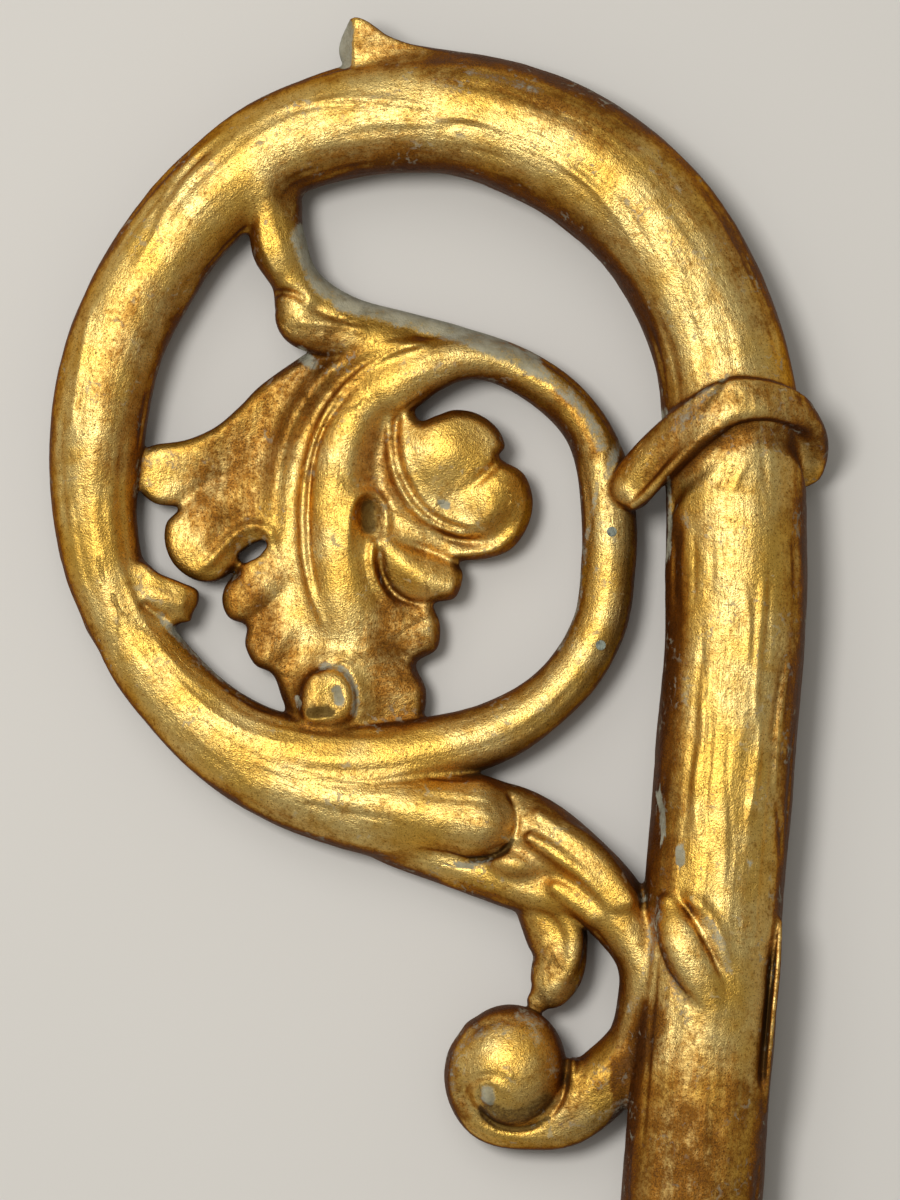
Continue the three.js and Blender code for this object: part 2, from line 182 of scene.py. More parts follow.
class Carving:
    """A distance field over the head of the crosier, built up by blending limbs and lobes."""

    def __init__(self, cell):
        self.cell = cell
        self.low = np.array(GRID_LOW)
        count = np.ceil((np.array(GRID_HIGH) - self.low) / cell).astype(int) + 1
        self.axes = [self.low[i] + cell * np.arange(count[i]) for i in range(3)]
        self.f = np.full(count, EMPTY, np.float32)

    def window(self, u, v, pad):
        """The part of the grid over some points and so far round them, and the places in it."""
        i0, i1 = np.searchsorted(self.axes[0], [np.min(u) - pad, np.max(u) + pad])
        j0, j1 = np.searchsorted(self.axes[1], [np.min(v) - pad, np.max(v) + pad])
        u, v = np.meshgrid(self.axes[0][i0:i1], self.axes[1][j0:j1], indexing="ij")
        return (slice(i0, i1), slice(j0, j1)), u, v

    def blend(self, part, f, k, cut=False):
        """Adds the inside of f, or with cut takes it away, with a fillet of about k."""
        sign = -1 if cut else 1
        old = sign * self.f[part]
        h = np.clip(k - np.abs(old - f), 0, None) / k
        self.f[part] = sign * (np.minimum(old, f) - h * h * k / 4)

    def limb(self, rows, k=5.0, square=2.0, wobble=0.0, seed=1, cut=False):
        """A limb of oval section: x, y, half width, height of its middle, half height."""
        p = spline(rows)
        u, v = turned(p[:, 0], p[:, 1])
        part, gu, gv = self.window(u, v, p[:, 2].max() + k + MARGIN)
        dist, side, along, place = nearest(gu, gv, np.stack([u, v], 1))
        w = np.maximum(at(p[:, 2], place), 1)
        m = at(p[:, 3], place)
        high = np.maximum(at(p[:, 4], place), 1)
        h = self.axes[2][None, None, :] - m[..., None]
        d = dist[..., None]
        w3, v3 = w[..., None], high[..., None]
        if square == 2.0:
            k0 = np.sqrt((d / w3) ** 2 + (h / v3) ** 2)
        else:
            k0 = ((d / w3) ** square + (np.abs(h) / v3) ** square) ** (1 / square)
        k1 = np.sqrt((d / w3**2) ** 2 + (h / v3**2) ** 2)
        f = oval(k0, k1, np.minimum(w3, v3))
        if wobble:
            near = np.nonzero(np.abs(f) < MARKS_REACH)
            flat = near[:2]
            angle = np.arctan2(h[near] / high[flat], (side * dist)[flat] / w[flat])
            f[near] -= wobble * tool_marks(along[flat], angle, w[flat], seed)
        self.blend(part, f, k, cut)

    def lobe(self, row, k=5.0, cut=False):
        """A rounded mass: x, y, half length, half width, turn, height of its middle, half height."""
        x, y, a, b, turn, m, c = row
        u0, v0 = turned(x, y)
        part, gu, gv = self.window(u0, v0, max(a, b) + k + MARGIN)
        angle = LEAN - math.radians(turn)
        p = (gu - u0) * math.cos(angle) + (gv - v0) * math.sin(angle)
        q = -(gu - u0) * math.sin(angle) + (gv - v0) * math.cos(angle)
        h = self.axes[2][None, None, :] - m
        p, q = p[..., None], q[..., None]
        k0 = np.sqrt((p / a) ** 2 + (q / b) ** 2 + (h / c) ** 2)
        k1 = np.sqrt((p / a**2) ** 2 + (q / b**2) ** 2 + (h / c**2) ** 2)
        f = oval(k0, k1, min(a, b, c))
        self.blend(part, f, k, cut)

    def score(self, rows, width, depth, lowest=60.0):
        """A groove, or with a negative depth a ridge, drawn over the surfaces that face up."""
        p = spline(rows)
        u, v = turned(p[:, 0], p[:, 1])
        part, gu, gv = self.window(u, v, 3 * width)
        dist, _, _, place = nearest(gu, gv, np.stack([u, v], 1))
        run = place / (len(p) - 1)
        fade = step(0, 0.2, run) * step(0, 0.2, 1 - run)
        change = depth * fade * np.exp(-((dist / width) ** 2))
        above = step(lowest - 12, lowest, self.axes[2])
        self.f[part] += (change[..., None] * above[None, None, :]).astype(np.float32)

    def slab(self, outline, top, bottom, k=5.0, rounding=7.0):
        """A blade with a drawn outline, a sculpted face and a flat back."""
        p = spline(np.reshape(outline, (-1, 2)), 5, closed=True)
        u, v = turned(p[:, 0], p[:, 1])
        ring = np.stack([np.append(u, u[0]), np.append(v, v[0])], 1)
        part, gu, gv = self.window(u, v, MARGIN + 6)
        dist = nearest(gu, gv, ring)[0]
        inside = np.zeros(gu.shape, bool)
        for (ax, ay), (bx, by) in zip(ring[:-1], ring[1:]):
            if ay == by:
                continue
            inside ^= ((ay > gv) != (by > gv)) & (gu < (bx - ax) * (gv - ay) / (by - ay) + ax)
        edge = np.where(inside, -dist, dist) + rounding
        x, y = drawn(gu, gv)
        face = top(x, y, np.where(inside, dist, 0))
        middle = (face + bottom) / 2
        half = np.maximum((face - bottom) / 2 - rounding, 1)
        h = np.abs(self.axes[2][None, None, :] - middle[..., None]) - half[..., None]
        e = edge[..., None]
        f = np.hypot(np.maximum(e, 0), np.maximum(h, 0)) + np.minimum(np.maximum(e, h), 0)
        self.blend(part, (f - rounding).astype(np.float32), k)


def surface(carving):
    """The field's surface as vertices and quads, one vertex in each cell that it crosses."""
    f = carving.f
    inside = f < 0
    count = np.zeros(np.array(f.shape) - 1, np.int8)
    for corner in CORNERS:
        count += inside[tuple(slice(a, size - 1 + a) for a, size in zip(corner, f.shape))]
    active = (count > 0) & (count < 8)
    cells = np.argwhere(active)
    number = np.full(active.shape, -1, np.int32)
    number[active] = np.arange(len(cells))
    values = {c: f[tuple((cells + c).T)] for c in CORNERS}
    total = np.zeros((len(cells), 3))
    hits = np.zeros(len(cells))
    for c in CORNERS:
        for axis in range(3):
            if c[axis]:
                continue
            d = tuple(1 if a == axis else c[a] for a in range(3))
            s0, s1 = values[c], values[d]
            cross = (s0 < 0) != (s1 < 0)
            t = np.where(cross, s0 / np.where(cross, s0 - s1, 1), 0)
            point = np.tile(np.array(c, float), (len(cells), 1))
            point[:, axis] += t
            total += point * cross[:, None]
            hits += cross
    verts = carving.low + carving.cell * (cells + total / hits[:, None])
    quads = []
    for axis in range(3):
        b, c = [a for a in range(3) if a != axis]
        lo = [slice(None)] * 3
        hi = [slice(None)] * 3
        lo[axis] = slice(0, -1)
        hi[axis] = slice(1, None)
        before = inside[tuple(lo)]
        change = before != inside[tuple(hi)]
        for end in (b, c):
            for at_edge in (0, -1):
                edge = [slice(None)] * 3
                edge[end] = at_edge
                change[tuple(edge)] = False
        where = np.argwhere(change)
        flip = before[change]
        ring = []
        for ob, oc in ((1, 1), (0, 1), (0, 0), (1, 0)):
            cell = where.copy()
            cell[:, b] -= ob
            cell[:, c] -= oc
            ring.append(number[tuple(cell.T)])
        ring = np.stack(ring, 1)
        if axis == 1:
            flip = ~flip
        ring[~flip] = ring[~flip][:, ::-1]
        quads.append(ring)
    return verts, np.vstack(quads)


def relax(verts, edges, fixed, rounds):
    """Evens the surface out without shrinking it."""
    n = len(verts)
    degree = np.maximum(np.bincount(edges.ravel(), minlength=n), 1)[:, None]
    for share in [0.5, -0.52] * rounds:
        total = np.stack([np.bincount(edges[:, 0], verts[edges[:, 1], a], n) for a in range(3)], 1)
        total += np.stack([np.bincount(edges[:, 1], verts[edges[:, 0], a], n) for a in range(3)], 1)
        move = (total / degree - verts) * share
        move[fixed] = 0
        verts = verts + move
    return verts


def on_staff(rows):
    """Rows of a limb on the staff's front, given by the depth of their middle there."""
    return [(x, y, w, 2 * STAFF - depth, high) for x, y, w, depth, high in rows]


# The crook's middle line from the staff up: x, y and its thickness as a share of the staff's.
CURL = [
    (680, 1330, 1), (695, 1135, 1), (709, 950, 1), (721.5, 790, 1), (729.5, 690, 1), (733.5, 640, 1),
    (735.5, 590, 1), (735, 535, 1), (733, 470, 0.99), (728.5, 405, 0.965), (716, 343, 0.945),
    (695, 291, 0.935), (667, 243, 0.935), (628, 198, 0.935), (586, 164, 0.935), (539, 140, 0.92),
    (487, 121, 0.895), (430, 114, 0.86), (350, 123, 0.795), (274, 150, 0.735), (207, 202, 0.705),
    (159, 260, 0.7), (126, 320, 0.7), (106.5, 380, 0.695), (97.5, 440, 0.68), (94.5, 500, 0.615), (102, 560, 0.575),
    (120, 612, 0.54),
]
# Limbs of oval section: x, y, half width, height of the middle above the bed, half height.
SPIRAL = [
    (100, 565, 26, 36, 32), (137, 640, 36, 38, 36), (178, 692, 40, 40, 38), (232, 734, 40, 43, 40),
    (300, 756, 39, 45, 41), (370, 760, 38, 45, 41), (440, 748, 34, 44, 39), (499, 730, 31, 43, 37),
    (545, 701, 28, 42, 35), (579, 664, 27, 42, 34), (601, 620, 27, 42, 34), (608, 570, 27, 43, 34),
    (609, 525, 27, 44, 34), (603, 475, 26, 44, 33), (589, 434, 22, 44, 32), (565, 400, 20, 44, 31),
    (531, 375, 20, 45, 31), (496, 361, 21, 46, 32), (460, 358, 24, 48, 34), (424, 368, 29, 50, 36),
    (392, 386, 33, 50, 34),
]
LEDGE = [
    (270, 150, 28, 46, 32), (277, 205, 25, 42, 32), (284, 252, 21, 38, 31), (306, 291, 22, 36, 31),
    (348, 317, 21, 34, 30), (402, 331, 20, 33, 28), (455, 345, 20, 31, 27), (505, 364, 20, 30, 26),
    (551, 392, 21, 30, 26), (586, 428, 21, 30, 26), (606, 470, 22, 30, 26),
]
STRUT = [
    (262, 150, 28, 60, 34), (265, 190, 21, 60, 31), (271, 220, 20, 58, 29), (279, 250, 26, 56, 31),
    (292, 280, 17, 50, 28),
]
STRUT_CURL = [
    (301, 306, 26, 50, 28), (305, 320, 28, 50, 28), (325, 328, 28, 51, 26), (356, 338, 26, 52, 25),
    (395, 348, 22, 52, 24),
]
LIMB = [
    (100, 560, 26, 36, 30), (136, 645, 36, 38, 36), (176, 698, 40, 40, 38), (219, 738, 42, 42, 40),
    (266, 771, 43, 43, 40), (320, 797, 42, 44, 40), (395, 818, 41, 46, 40), (465, 815, 39, 48, 40),
    (523, 828, 37, 52, 40), (574, 863, 35, 56, 42), (611, 905, 35, 60, 44), (640, 955, 26, 60, 42),
    (646, 1000, 29, 56, 40), (637, 1045, 31, 52, 38), (605, 1082, 34, 48, 35), (565, 1112, 35, 42, 31),
    (525, 1126, 26, 38, 28), (490, 1120, 25, 38, 29), (470, 1094, 24, 42, 32), (466, 1062, 21, 46, 34),
    (478, 1036, 18, 46, 30),
]
BRACKET_LOBE = [
    (325, 806, 26, 30, 26), (395, 834, 31, 34, 32), (460, 861, 28, 38, 34), (516, 881, 28, 44, 38),
    (556, 893, 28, 48, 40), (574, 901, 22, 50, 38),
]
HANGING_TIP = [
    (543, 898, 30, 40, 30), (556, 933, 31, 40, 30), (560, 956, 27, 42, 28), (556, 975, 26, 42, 26),
    (548, 991, 21, 42, 22), (539, 1001, 12, 40, 14),
]
BROKEN_LEAF = [(105, 580, 18, 38, 26), (138, 598, 26, 40, 28), (162, 603, 22, 43, 24)]
BROKEN_THORN = [(490, 96, 24, 56, 34), (440, 82, 28, 56, 34), (405, 72, 26, 56, 28), (380, 66, 20, 56, 22)]
BRACKET_RIBS = [
    [(538, 816, 13, 68, 28), (560, 833, 17, 76, 27), (590, 857, 19, 82, 26), (624, 898, 15, 88, 22)],
    [(530, 836, 8, 80, 24), (554, 850, 11, 86, 23), (584, 872, 12, 90, 21), (612, 902, 12, 90, 19)],
    [(556, 886, 13, 70, 26), (572, 895, 14, 78, 23), (592, 912, 12, 80, 21)],
]
# Outlines of blades, as x, y, x, y ...
BROKEN_LEAF_END = [
    140, 562, 160, 574, 180, 582, 197, 590, 198, 602, 192, 614, 190, 621, 176, 624, 160, 630, 130, 620, 120, 580,
]
BLADE = [
    306, 353, 262, 384, 240, 406, 215, 427, 185, 440, 150, 446, 137, 462, 138, 487, 154, 503, 178, 508, 166, 523,
    165, 545, 175, 566, 195, 580, 216, 581, 236, 570, 225, 586, 222, 602, 229, 618, 246, 626, 245, 645, 255, 665,
    273, 675, 284, 704, 304, 746, 402, 746, 422, 720, 426, 690, 416, 664, 437, 649, 440, 624, 434, 604, 455, 598,
    463, 576, 460, 562, 485, 559, 510, 550, 527, 528, 533, 500, 524, 474, 505, 462, 499, 455, 505, 446, 497, 428,
    478, 414, 455, 410, 436, 416, 419, 420, 412, 392, 440, 350, 400, 336, 340, 332,
]
STUB = [
    306, 681, 314, 673, 328, 671, 341, 676, 350, 688, 352, 703, 346, 715, 334, 721, 310, 721, 303, 712, 302, 696,
]
THORN_BREAK = [
    351, 21, 358, 20, 368, 24, 378, 31, 388, 38, 406, 45, 430, 52, 452, 60, 450, 84, 400, 86, 352, 80, 345, 68,
    341, 60, 339, 50, 342, 38, 347, 28,
]


# The double rim round the leaf's heart-shaped lobe: x, y and share of the height.
RIM = [
    (403, 384, 0.4), (394, 402, 1), (389, 432, 1), (391, 463, 1), (399, 486, 1), (413, 508, 1), (432, 524, 1),
    (456, 533, 1), (476, 531, 0.4),
]
# What is raised on the leaf's face, or sunk where the height is below 0. Lines: height, half width, the line as x, y
# and share of the height, and the sharpness of its flanks. Mounds: height, x, y, their two half widths and sharpness.
LEAF_FORMS = [
    (4, 20, [(300, 372, 0.6), (250, 405, 1), (205, 440, 1), (160, 462, 0.8)]),
    (8, 20, [(228, 500, 0.4), (205, 525, 1), (196, 548, 1)]),
    (6, 15, [(285, 555, 0.3), (262, 585, 1), (246, 602, 1)]),
    (5, 14, [(300, 610, 0.3), (282, 636, 1), (264, 656, 1)]),
    (-4, 8, [(250, 468, 0.2), (212, 482, 1), (178, 505, 1)]),
    (-4, 6, [(292, 585, 0.2), (268, 606, 0.8), (244, 625, 1)]),
    # the rims round the pierced eye
    (7, 6, [(198, 570, 0.5), (212, 560, 1), (226, 544, 1), (240, 531, 1), (256, 526, 1), (269, 533, 0.8),
     (274, 550, 0.4)]),
    (-9, 7, [(234, 572, 1), (243, 556, 1), (254, 548, 1)]),
    # the big swelling beside the midrib, and its double crest
    (27, 33, [(452, 350, 0.9), (408, 366, 1), (372, 396, 1), (347, 438, 1), (337, 490, 1), (338, 545, 1),
     (346, 600, 0.8), (356, 645, 0.45), (362, 690, 0.2)], 2.6),
    (5.2, 3.6, [(440, 341, 0.5), (398, 352, 1), (360, 374, 1), (331, 405, 1), (312, 447, 1), (303, 490, 1),
     (302, 540, 1), (309, 585, 0.8), (322, 622, 0.3)]),
    (-3.8, 2.2, [(352, 392, 0.2), (326, 425, 1), (313, 465, 1), (309, 510, 1), (311, 560, 0.7), (318, 590, 0.2)]),
    (17, 11, [(420, 338, 0.8), (366, 350, 1), (326, 376, 1), (294, 420, 0.9), (278, 470, 0.6), (274, 530, 0.3)]),
    # the hollow, the heart-shaped lobe and its crisp double rim
    (-6, 15, [(404, 396, 0.5), (382, 430, 1), (374, 468, 1), (382, 494, 0.6)]),
    (16, 455, 466, 68, 70, 3.5),
    (17, 441, 449, 43, 38, 1.2),
    (12, 500, 502, 30, 40, 1.2),
    (4, 9, [(470, 533, 0.3), (484, 524, 1), (494, 512, 0.6)]),
    (5, 4.2, RIM),
    (-3, 3.6, [(x + 7, y - 3, share) for x, y, share in RIM[1:]]),
    (2.4, 4.2, [(x + 14, y - 7, share) for x, y, share in RIM[1:-1]]),
    (-8, 4.5, [(428, 526, 0.3), (446, 536, 1), (466, 541, 1), (482, 540, 0.5)]),
    (-8, 5, [(507, 456, 1), (497, 464, 1), (486, 474, 0.8), (474, 484, 0.4), (462, 492, 0.1)]),
    (5, 6, [(436, 556, 0.3), (462, 556, 1), (490, 552, 1), (514, 534, 0.8)]),
    # the dark teardrop and its rim
    (-10, 368, 516, 10, 17, 2),
    (6, 4.6, [(349, 548, 0.3), (350, 520, 0.7), (355, 501, 1), (368, 492, 1), (381, 499, 1), (387, 516, 1),
     (385, 540, 0.8)]),
    # the rolled lobe under it
    (17, 19, [(392, 550, 0.9), (407, 566, 1), (427, 579, 1), (448, 586, 0.8)]),
    (-8, 4, [(380, 552, 0.6), (382, 572, 1), (392, 591, 1), (410, 602, 0.8), (432, 604, 0.3)]),
    (7, 4, [(373, 544, 0.8), (372, 562, 1), (377, 582, 1), (388, 600, 0.8), (400, 611, 0.2)]),
    (-7, 5, [(400, 542, 0.4), (420, 548, 1), (446, 558, 1), (460, 562, 1)]),
    # the low lobes down the right side
    (5, 16, [(372, 606, 0.4), (396, 624, 1), (418, 632, 1)]),
    (-4, 5, [(385, 650, 0.3), (402, 656, 1), (416, 664, 1)]),
    (5, 15, [(372, 664, 0.4), (392, 682, 1), (408, 696, 1)]),
    # the surround of the broken knob at the foot
    (20, 329, 700, 36, 42, 1.5),
    (2.5, 6, [(314, 660, 0.4), (328, 656, 1), (344, 660, 0.4)]),
    (-4, 2.2, [(322, 666, 0.3), (338, 666, 0.8), (350, 676, 1), (357, 692, 1), (357, 712, 0.8), (350, 724, 0.4)]),
]


def ridge(x, y, height, width, rows, sharp=2.0):
    """A raised line over the drawing."""
    p = spline(rows)
    dist, _, _, place = nearest(x, y, p[:, :2])
    return height * at(p[:, 2], place) * np.exp(-((dist / width) ** sharp))


def mound(x, y, height, middle_x, middle_y, wide, tall, sharp=1):
    return height * np.exp(-((((x - middle_x) / wide) ** 2 + ((y - middle_y) / tall) ** 2) ** sharp))


def leaf_face(x, y, inner):
    """Heights of the central leaf's carved face over the drawing; the left fan is broad and a little dished."""
    fan = step(306, 250, x)
    z = 50.0 - mound(x, y, 5 * fan, 235, 480, 70, 75)
    for height, *form in LEAF_FORMS:
        z = z + (mound if len(form) == 5 else ridge)(x, y, height, *form)
    turned_down = 8 * (1 - step(0, 9, inner)) * (1 - 0.6 * fan)
    return z - turned_down + 0.7 * noise(x / 24, y / 24, 0 * x, 3)


# The tie band by the angle round the tube: the height of its lower edge and its width.
BAND_LEAN = [-95, -60, -30, 0, 26, 50, 70, 90, 110, 132]
BAND_FOOT = [-92, -52, -25, 2, 9, 5, -5, -26, -50, -76]
BAND_WIDE = [62, 60, 57, 47, 42, 41, 42, 46, 50, 54]


def band(carving):
    """The tie: a leaning strap round the tube, with a round lower edge over a cove."""
    part, gu, gv = carving.window([-150, 118], [60, 300], 0)
    x, y = drawn(gu, gv)
    line = np.array(CURL)[5:12]
    middle = np.interp(-y, -line[:, 1], line[:, 0])
    u = (x - middle)[..., None]
    h = carving.axes[2][None, None, :] - STAFF
    lean = np.degrees(np.arctan2(u, h))
    radial = np.hypot(u, h)
    up = (430 - y + 0.04 * (x - 731))[..., None]
    course = spline(list(zip(BAND_LEAN, BAND_FOOT, BAND_WIDE)))
    foot = np.interp(lean, course[:, 0], course[:, 1])
    wide = np.interp(lean, course[:, 0], course[:, 2])
    t = (up - foot) / wide
    ends = step(-84, -52, lean) * (1 - step(108, 126, lean))
    proud = 15 + 13 * step(30, 85, lean)
    profile = 5 + (proud - 5) * np.clip(1 - (np.clip(t - 0.28, 0, 1) / 0.9) ** 1.6, 0, 1)
    profile = profile + 3 * np.exp(-(((t - 0.9) / 0.07) ** 2))
    strip = radial - (STAFF * 0.97 + profile * ends)
    edge = np.maximum(t - 1, -t) * 40
    k = 13.0
    f = np.maximum(strip, edge) + np.clip(k - np.abs(strip - edge), 0, None) ** 2 / (4 * k)
    f = np.maximum(f, (0.5 - ends) * 24)
    f = np.where(radial < 40, 10, f)
    cove = np.hypot((up - foot) + 15, radial - (STAFF + 9)) - 14
    cove = np.maximum(cove, (0.35 - ends) * 30).astype(np.float32)
    carving.blend(part, cove, 7.0, cut=True)
    carving.blend(part, f.astype(np.float32), 4.0)
    carving.limb([(706, 414, 22, 118, 22), (684, 430, 23, 110, 25), (662, 452, 24, 96, 27), (642, 474, 24, 83, 27),
                  (630, 488, 23, 74, 26)], k=6, wobble=0.6, seed=61)
    carving.limb([(716, 428, 4, 144, 9), (700, 437, 5, 137, 12), (682, 455, 6, 128, 13), (664, 474, 6, 116, 13),
                  (646, 494, 6, 102, 12), (632, 506, 5, 90, 12)], k=7)
    carving.score([(724, 380), (710, 396), (694, 416)], 2.6, 2.0)
    # short cuts down from the band's upper edge
    for n in range(9):
        top = (712 + 10.5 * n, 394 - 4 * math.sin(n * 0.4))
        foot = (top[0] + 2.5, top[1] + 24 - 5 * (n % 3))
        carving.score([top, (top[0] + 2, top[1] + 11), foot], 2.4, 1.5 - 0.5 * (n % 2), 100)


# Chisel scores on all that faces up: half width, depth (below 0 a ridge), then the line as x, y, x, y ...
SCORES = [
    (3.4, -2.0, 270, 118, 300, 108, 340, 104, 380, 104, 420, 112, 450, 124),
    (2.8, 1.6, 285, 118, 320, 110, 365, 110, 405, 116), (3.2, -1.8, 425, 128, 455, 122, 485, 128, 510, 140),
    (2.6, 1.5, 440, 134, 462, 130, 486, 136), (3.4, -2.0, 236, 127, 205, 150, 180, 178, 160, 205),
    (3.2, -2.0, 228, 152, 195, 178, 172, 208, 150, 250, 128, 283), (2.8, 1.4, 220, 146, 190, 172, 166, 204, 146, 240),
    (3.6, -2.2, 98, 296, 86, 340, 78, 390, 72, 440), (3.0, 1.6, 66, 400, 63, 450, 66, 500, 72, 550),
    (3.6, -1.8, 118, 560, 140, 612, 172, 660, 214, 700), (3.2, -2.0, 540, 156, 580, 184, 614, 220, 640, 262),
    (2.8, 1.6, 560, 160, 596, 186, 628, 220, 652, 258), (3.4, -1.8, 660, 240, 684, 290, 700, 340),
    (3.6, -2.4, 760, 572, 757, 620, 753, 680, 752, 740), (3.0, 2.0, 766, 560, 765, 610, 760, 670),
    (3.4, -2.2, 787, 650, 780, 700, 774, 750, 770, 800), (2.8, 2.0, 781, 650, 773, 700, 766, 750),
    (3.4, -2.2, 758, 706, 755, 750, 750, 790, 742, 830),
    (3.4, -2.2, 698, 690, 700, 730, 694, 770, 693, 815, 697, 850), (2.6, 1.8, 705, 690, 707, 740, 703, 800, 704, 850),
    (3.0, -1.8, 738, 575, 745, 620, 743, 670), (2.4, 1.8, 721, 630, 718, 665, 715, 700),
    (2.4, 1.6, 726, 720, 724, 780, 728, 840, 724, 890), (2.6, 2.0, 770, 790, 776, 820, 778, 860),
    (3.2, -2.0, 732, 466, 722, 480, 716, 494), (3.0, -1.8, 745, 462, 735, 478, 728, 496),
    (3.2, 1.8, 678, 520, 674, 570, 676, 620), (4.0, 5.0, 270, 296, 284, 293, 298, 297, 308, 305),
    (4.5, -3.5, 292, 322, 316, 324, 345, 327, 376, 336), (3.0, 2.5, 306, 306, 322, 313, 342, 321, 362, 328),
    (5.0, -2.5, 262, 212, 262, 240, 272, 266, 282, 282), (3.4, -2.0, 240, 756, 300, 774, 370, 776, 430, 766),
    (3.2, -1.8, 160, 660, 205, 706, 260, 736, 330, 748), (2.8, 1.6, 300, 800, 350, 812, 400, 818),
]


def carved_head():
    """The crook with all that hangs in it, in the order in which the parts are blended."""
    c = Carving(CELL)
    curl = [(x, y, STAFF * s, STAFF * s, STAFF * s) for x, y, s in CURL]
    c.limb(curl, k=6, wobble=0.8, seed=11)
    c.limb(BROKEN_THORN, k=12, wobble=0.7, seed=15)
    c.slab(THORN_BREAK, lambda x, y, inner: 80 - 1.7 * np.clip(354 - x, 0, 14), 34, rounding=3)
    c.limb(LEDGE, k=9, square=2.6)
    c.limb(STRUT, k=14, wobble=0.5, seed=21)
    c.limb(STRUT_CURL, k=12)
    c.limb(SPIRAL, k=9, wobble=0.65, seed=25)
    c.limb(LIMB, k=7, wobble=0.7, seed=31)
    # the round lobe of the bracket, the lobe under it and the ribs that run from them to the staff
    c.limb([(225, 752, 18, 36, 30), (300, 788, 28, 46, 38), (370, 802, 33, 52, 42), (430, 811, 38, 58, 44),
            (474, 817, 42, 62, 46)], k=9, wobble=0.9, seed=41)
    c.limb(BRACKET_LOBE, k=5, wobble=0.5, seed=45)
    for number, row in enumerate(BRACKET_RIBS):
        c.limb(row, k=7, wobble=0.7, seed=71 + number)
    c.lobe((484, 823, 27, 21, 10, 80, 31), k=10)
    c.lobe((515, 862, 31, 17, 12, 66, 30), k=9)
    c.score([(506, 790), (515, 806), (517, 823), (512, 839)], 3, 4)
    c.score([(512, 839), (503, 850), (488, 857), (471, 859), (457, 861)], 2.8, 4)
    c.limb(HANGING_TIP, k=4)
    c.limb([(556, 905, 10, 66, 14), (572, 930, 11, 66, 12), (570, 962, 9, 64, 10), (556, 985, 6, 58, 8)], k=5)
    c.limb(BROKEN_LEAF, k=10, wobble=0.6, seed=51)
    c.slab(BROKEN_LEAF_END, lambda x, y, inner: 64 + 0.15 * (600 - y) - 0.5 * np.clip(x - 184, 0, 16), 24,
           k=8, rounding=9)
    c.score([(140, 600), (150, 609), (160, 616), (172, 619)], 4, 5, 45)
    c.score([(142, 588), (160, 595), (178, 602), (190, 606)], 9, -4, 45)
    c.slab(BLADE, leaf_face, 20, k=6)
    # the snail of the volute: a high round mass with a groove along its foot and the eye at its turn
    c.lobe((510, 1065, 56, 61, 0, 52, 52), k=5)
    c.score([(478, 1100), (484, 1113), (498, 1124), (516, 1128), (534, 1125), (548, 1116)], 2.8, 5)
    c.score([(546, 1118), (557, 1106), (564, 1090), (566, 1070)], 3, 4)
    c.score([(464, 1110), (462, 1094), (469, 1080), (484, 1072), (500, 1071)], 3.0, 2.8, 50)
    c.score([(480, 1108), (475, 1095), (479, 1083), (490, 1078), (500, 1084), (502, 1096)], 3.2, -2.6, 50)
    c.score([(497, 1064), (507, 1068), (513, 1077)], 3.5, -2.0, 50)
    c.score([(458, 1046), (476, 1028), (500, 1019), (528, 1020)], 4, 1.6, 50)
    c.lobe((488, 1091, 12, 8, 80, 86, 13), k=2)
    # the small ridge where the snail meets the limb
    c.limb([(573, 1061, 4, 58, 14), (573, 1068, 4.5, 60, 15), (573, 1075, 4, 58, 14)], k=9)
    # the broken stem at the leaf's foot
    c.slab(STUB, lambda x, y, inner: 78 + 4 * np.exp(-(((x - 316) / 10) ** 2)), 30, k=14, rounding=8)
    c.limb(on_staff([(668, 900, 13, 28, 22), (674, 918, 22, 19, 25), (682, 940, 27, 13, 25), (692, 963, 26, 9, 20),
                     (702, 985, 19, 6, 13), (710, 1004, 10, 5, 6)]), k=5, wobble=0.6, seed=81)
    c.score([(676, 888), (688, 895), (701, 905), (712, 922), (720, 943), (724, 972)], 7, -6)
    c.score([(676, 893), (689, 912), (701, 935), (711, 955), (721, 976)], 3.6, 4.0)
    c.score([(650, 912), (654, 936), (666, 962), (681, 986), (696, 1004)], 5, 2.4)
    # the sliver split from the staff's edge
    c.score([(770, 940), (768, 975), (764, 1020), (760, 1060), (758, 1090)], 3.2, 3, 60)
    c.limb([(778, 918, 1.5, 98, 6), (776, 940, 3, 101, 10), (774, 970, 3.5, 102, 12), (770, 1010, 3.5, 103, 13),
            (766, 1055, 3.5, 101, 12), (764, 1085, 3, 98, 9), (763, 1108, 1.5, 95, 5)], k=4)
    band(c)
    # cuts: the leaf's pierced eye and the two splits in the broken stem
    c.limb([(244, 557, 6, 40, 60), (254, 551, 7, 40, 60), (262, 545, 5, 40, 60)], k=3, cut=True)
    c.lobe((320, 714, 13, 7, 0, 94, 17), k=2, cut=True)
    c.lobe((338, 695, 14, 9, 78, 92, 15), k=2, cut=True)
    for width, depth, *line in SCORES:
        c.score(np.reshape(line, (-1, 2)), width, depth)
    below = FLAT - c.axes[2][None, None, :]
    c.f = np.maximum(c.f, below.astype(np.float32))
    return c


